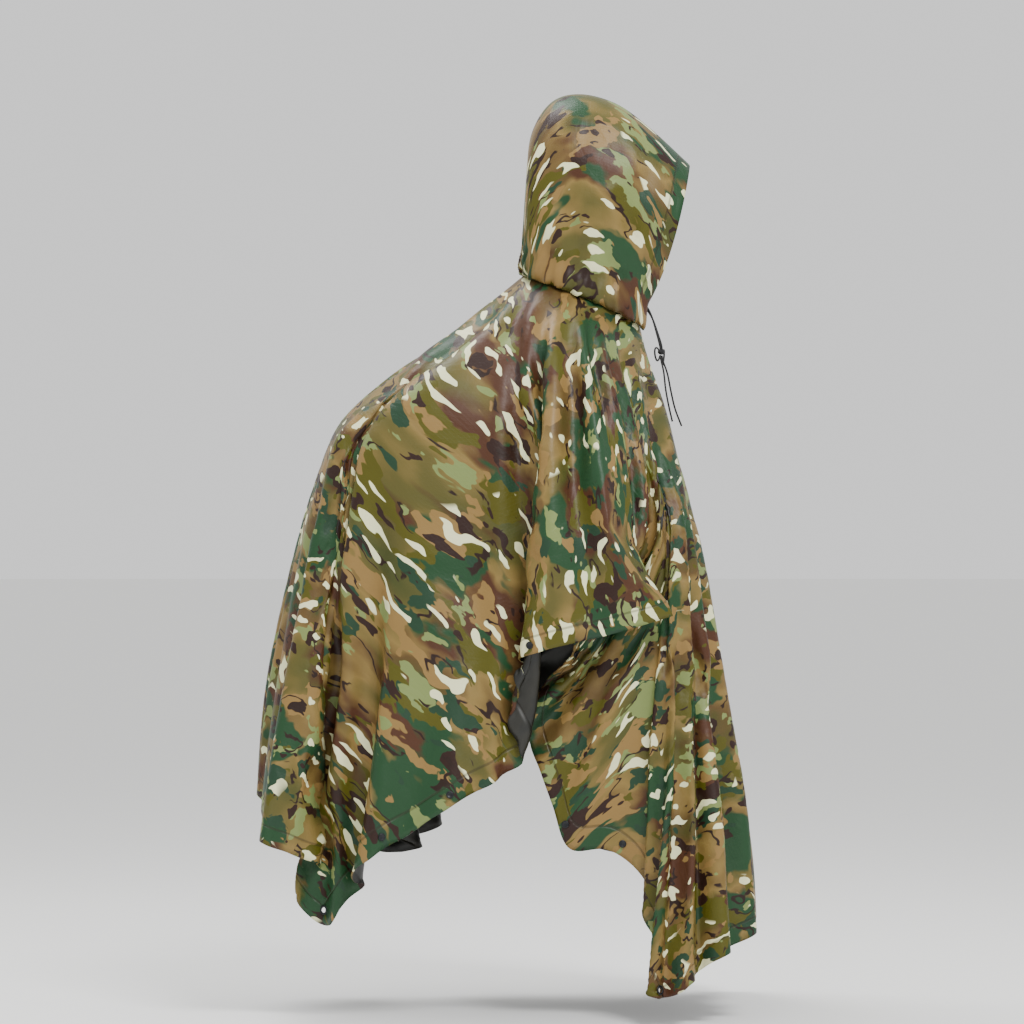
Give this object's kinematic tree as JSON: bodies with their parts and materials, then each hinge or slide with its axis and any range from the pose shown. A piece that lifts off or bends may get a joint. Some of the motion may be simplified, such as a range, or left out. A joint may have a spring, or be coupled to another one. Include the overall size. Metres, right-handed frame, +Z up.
{
  "type": "hooded rain poncho worn over a figure with a back hump",
  "caption": "Hooded camouflage rain poncho in its worn pose: a rectangular sheet draped over shoulders, bent arms and a back hump, with hood and drawcord.",
  "frame": {"origin": "at the base of the neck, midway between the shoulders, where the wearer holds the garment up", "axes": "+X towards the garment's front, +Y towards the wearer's left, +Z up"},
  "size_m": [0.8347, 0.7041, 1.4703],
  "materials": {
    "ripstop_cloth": "coated ripstop with a printed leaf-green, tan and brown camouflage, slightly glossy outside and dull dark inside",
    "hem_cloth": "the same coated ripstop, turned in and lockstitched",
    "snap_metal": "black enamelled press snap",
    "eyelet_metal": "black enamelled eyelet",
    "cord": "black braided round cord"
  },
  "bodies": {
    "root": {"front": "ripstop_cloth", "back": "ripstop_cloth", "hood_right": "ripstop_cloth", "hood_left": "ripstop_cloth", "hem_front": "hem_cloth", "hem_right": "hem_cloth", "hem_back": "hem_cloth", "hem_left": "hem_cloth", "hood_hem": "hem_cloth", "snap_right_1": "snap_metal", "snap_right_2": "snap_metal", "snap_right_3": "snap_metal", "snap_right_4": "snap_metal", "snap_right_5": "snap_metal", "snap_right_6": "snap_metal", "snap_right_7": "snap_metal", "snap_right_8": "snap_metal", "snap_left_1": "snap_metal", "snap_left_2": "snap_metal", "snap_left_3": "snap_metal", "snap_left_4": "snap_metal", "snap_left_5": "snap_metal", "snap_left_6": "snap_metal", "snap_left_7": "snap_metal", "snap_left_8": "snap_metal", "eyelet_front_right": "eyelet_metal", "eyelet_back_right": "eyelet_metal", "eyelet_back_left": "eyelet_metal", "eyelet_front_left": "eyelet_metal", "cord_upper_right": "cord", "cord_upper_left": "cord", "cord_knot": "cord", "bow_right": "cord", "bow_left": "cord", "cord_end_right": "cord", "cord_end_left": "cord"}
  },
  "joints": []
}
